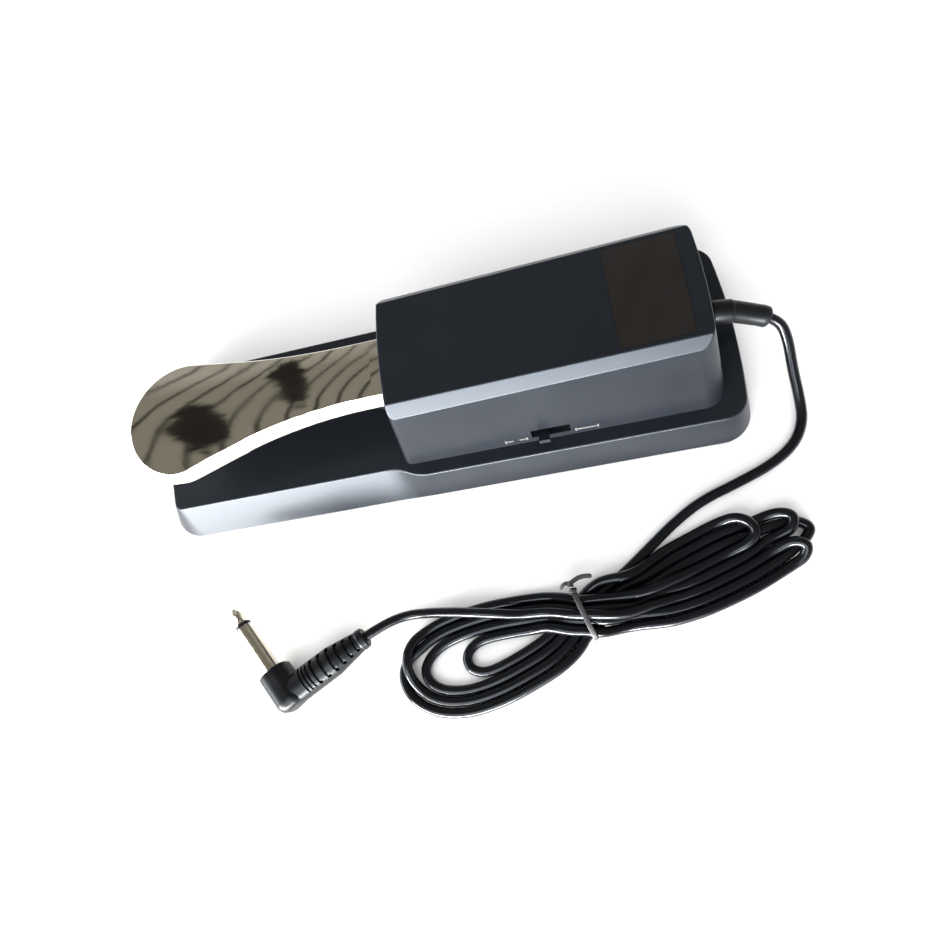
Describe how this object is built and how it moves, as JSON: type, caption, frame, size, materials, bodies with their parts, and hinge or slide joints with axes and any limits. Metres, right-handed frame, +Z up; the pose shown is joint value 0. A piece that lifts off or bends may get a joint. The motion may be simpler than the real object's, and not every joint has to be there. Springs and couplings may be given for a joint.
{
  "type": "sustain pedal",
  "caption": "Piano-style sustain pedal: chrome treadle lever in a tapered black housing on a wide base, with a tied cord ending in an angled jack plug.",
  "frame": {"origin": "middle of the pedal's footprint on the floor, the free cord and its plug left out", "axes": "+Z up, +X along the pedal from the treadle to the cord end, -Y the side with the polarity switch"},
  "size_m": [0.263, 0.1639, 0.054],
  "materials": {
    "black_plastic": "satin moulded black plastic",
    "gloss_label": "polished blank inlay",
    "chrome_plate": "polished chrome plate on pressed steel",
    "nickel_plate": "polished nickel plate",
    "zinc_steel": "zinc plated sheet steel",
    "spring_steel": "oiled spring steel",
    "screw_steel": "black zinc plated screws",
    "black_rubber": "matt moulded rubber",
    "white_nylon": "natural nylon",
    "switch_plastic": "black switch housing",
    "board_green": "green solder mask",
    "wire_red": "red wire insulation",
    "cord_jacket": "glossy flexible PVC"
  },
  "bodies": {
    "base": {"base_shell": "black_plastic", "rubber_mat": "black_rubber", "weight_plate": "zinc_steel", "plate_screws": "screw_steel", "housing_cover": "black_plastic", "housing_screws": "screw_steel", "label_plate": "gloss_label", "return_spring": "spring_steel", "spring_cup": "white_nylon", "pivot_bracket": "zinc_steel", "bracket_screws": "screw_steel", "pivot_pin": "spring_steel", "pin_clips": "spring_steel", "down_stop_pad": "black_rubber", "rest_stop_pad": "black_rubber", "circuit_board": "board_green", "board_screws": "screw_steel", "momentary_switch": "switch_plastic", "polarity_switch": "switch_plastic", "inner_cord": "cord_jacket", "cable_clamp": "black_plastic", "clamp_screws": "screw_steel", "signal_wires": "wire_red", "switch_wires": "wire_red", "strain_relief": "cord_jacket", "cord_run": "cord_jacket", "cord_hank": "cord_jacket", "cord_lead": "cord_jacket", "cable_tie": "cord_jacket", "plug_body": "black_plastic", "plug_sleeve": "nickel_plate", "plug_insulator": "black_plastic", "plug_tip": "nickel_plate"},
    "lever": {"pedal_lever": "chrome_plate", "lever_bushes": "white_nylon", "spring_seat": "white_nylon"},
    "plunger": {"switch_plunger": "white_nylon"},
    "slider": {"polarity_slider": "black_plastic"}
  },
  "joints": [
    {"name": "pedal_press", "type": "hinge", "parent": "base", "child": "lever", "pos_m": [0.045, 0, 0.035], "axis": [0, -1, 0], "range_deg": [0, 4], "stiffness_Nm_per_rad": 7, "springref_deg": -5.73, "deforming": ["return_spring"]},
    {"name": "switch_travel", "type": "slide", "parent": "base", "child": "plunger", "axis": [0, 0, -1], "range_m": [0, 0.0014]},
    {"name": "polarity_slide", "type": "slide", "parent": "base", "child": "slider", "axis": [1, 0, 0], "range_m": [0, 0.0052]}
  ],
  "couplings": [
    {"joint": "switch_travel", "follows": "pedal_press", "m_per_rad": 0.0175}
  ]
}
